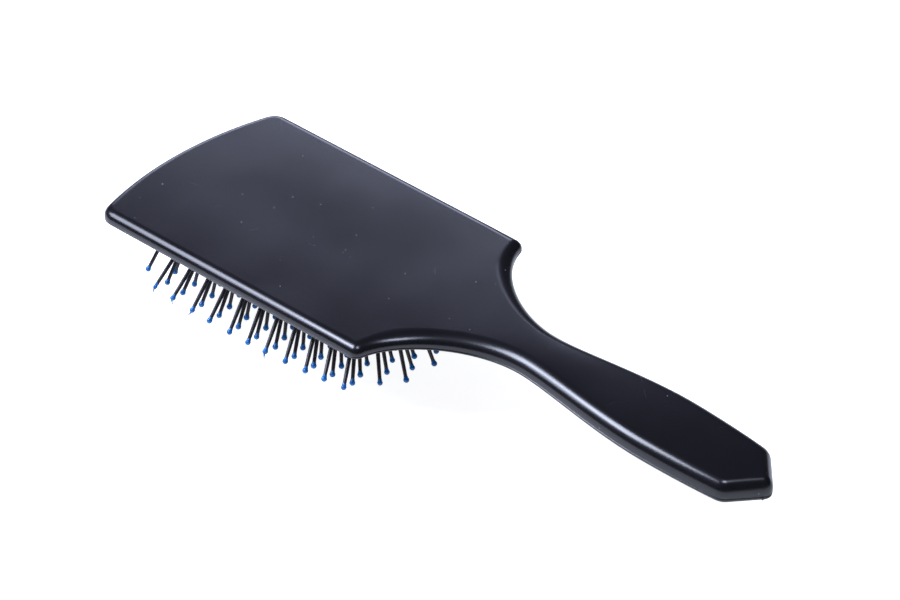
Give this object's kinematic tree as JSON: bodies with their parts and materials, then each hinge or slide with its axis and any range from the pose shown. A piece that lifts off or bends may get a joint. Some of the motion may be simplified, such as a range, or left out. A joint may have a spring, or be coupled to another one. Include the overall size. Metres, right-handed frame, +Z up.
{
  "type": "paddle hair brush",
  "caption": "Flat rectangular paddle hair brush with a tapered neck, a pointed flat handle, and splayed ball-tipped pins on a domed air cushion.",
  "frame": {"origin": "on the ground under the middle of the brush, at the height of the lowest ball tip", "axes": "+X along the length towards the point of the handle, +Z up, out of the back of the head; the pins point down"},
  "size_m": [0.245, 0.0804, 0.0349],
  "materials": {
    "back_plastic": "satin gloss, black",
    "front_plastic": "satin gloss, black",
    "cushion_rubber": "matt black rubber",
    "pin_nylon": "satin black nylon",
    "tip_plastic": "glossy blue"
  },
  "bodies": {
    "body": {"back_shell": "back_plastic", "front_shell": "front_plastic"},
    "cushion": {"cushion": "cushion_rubber"},
    "column_1": {"pins_1": "pin_nylon", "tips_1": "tip_plastic"},
    "column_2": {"pins_2": "pin_nylon", "tips_2": "tip_plastic"},
    "column_3": {"pins_3": "pin_nylon", "tips_3": "tip_plastic"},
    "column_4": {"pins_4": "pin_nylon", "tips_4": "tip_plastic"},
    "column_5": {"pins_5": "pin_nylon", "tips_5": "tip_plastic"},
    "column_6": {"pins_6": "pin_nylon", "tips_6": "tip_plastic"},
    "column_7": {"pins_7": "pin_nylon", "tips_7": "tip_plastic"},
    "column_8": {"pins_8": "pin_nylon", "tips_8": "tip_plastic"},
    "column_9": {"pins_9": "pin_nylon", "tips_9": "tip_plastic"},
    "column_10": {"pins_10": "pin_nylon", "tips_10": "tip_plastic"},
    "column_11": {"pins_11": "pin_nylon", "tips_11": "tip_plastic"}
  },
  "joints": [
    {"name": "cushion_press", "type": "slide", "parent": "body", "child": "cushion", "axis": [0, 0, 1], "range_m": [0, 0.0014], "stiffness_N_per_m": 3000, "deforming": ["cushion"]},
    {"name": "column_1_lean", "type": "hinge", "parent": "cushion", "child": "column_1", "pos_m": [-0.0605, -0.0195, 0.02796], "axis": [1, 0, 0], "range_deg": [-6, 6], "stiffness_Nm_per_rad": 0.5},
    {"name": "column_2_lean", "type": "hinge", "parent": "cushion", "child": "column_2", "pos_m": [-0.0605, -0.0156, 0.02715], "axis": [1, 0, 0], "range_deg": [-6, 6], "stiffness_Nm_per_rad": 0.5},
    {"name": "column_3_lean", "type": "hinge", "parent": "cushion", "child": "column_3", "pos_m": [-0.0605, -0.0117, 0.0262], "axis": [1, 0, 0], "range_deg": [-6, 6], "stiffness_Nm_per_rad": 0.5},
    {"name": "column_4_lean", "type": "hinge", "parent": "cushion", "child": "column_4", "pos_m": [-0.0605, -0.0078, 0.02584], "axis": [1, 0, 0], "range_deg": [-6, 6], "stiffness_Nm_per_rad": 0.5},
    {"name": "column_5_lean", "type": "hinge", "parent": "cushion", "child": "column_5", "pos_m": [-0.0605, -0.0039, 0.02533], "axis": [1, 0, 0], "range_deg": [-6, 6], "stiffness_Nm_per_rad": 0.5},
    {"name": "column_6_lean", "type": "hinge", "parent": "cushion", "child": "column_6", "pos_m": [-0.0605, 0, 0.02541], "axis": [1, 0, 0], "range_deg": [-6, 6], "stiffness_Nm_per_rad": 0.5},
    {"name": "column_7_lean", "type": "hinge", "parent": "cushion", "child": "column_7", "pos_m": [-0.0605, 0.0039, 0.02533], "axis": [1, 0, 0], "range_deg": [-6, 6], "stiffness_Nm_per_rad": 0.5},
    {"name": "column_8_lean", "type": "hinge", "parent": "cushion", "child": "column_8", "pos_m": [-0.0605, 0.0078, 0.02584], "axis": [1, 0, 0], "range_deg": [-6, 6], "stiffness_Nm_per_rad": 0.5},
    {"name": "column_9_lean", "type": "hinge", "parent": "cushion", "child": "column_9", "pos_m": [-0.0605, 0.0117, 0.0262], "axis": [1, 0, 0], "range_deg": [-6, 6], "stiffness_Nm_per_rad": 0.5},
    {"name": "column_10_lean", "type": "hinge", "parent": "cushion", "child": "column_10", "pos_m": [-0.0605, 0.0156, 0.02715], "axis": [1, 0, 0], "range_deg": [-6, 6], "stiffness_Nm_per_rad": 0.5},
    {"name": "column_11_lean", "type": "hinge", "parent": "cushion", "child": "column_11", "pos_m": [-0.0605, 0.0195, 0.02796], "axis": [1, 0, 0], "range_deg": [-6, 6], "stiffness_Nm_per_rad": 0.5}
  ]
}
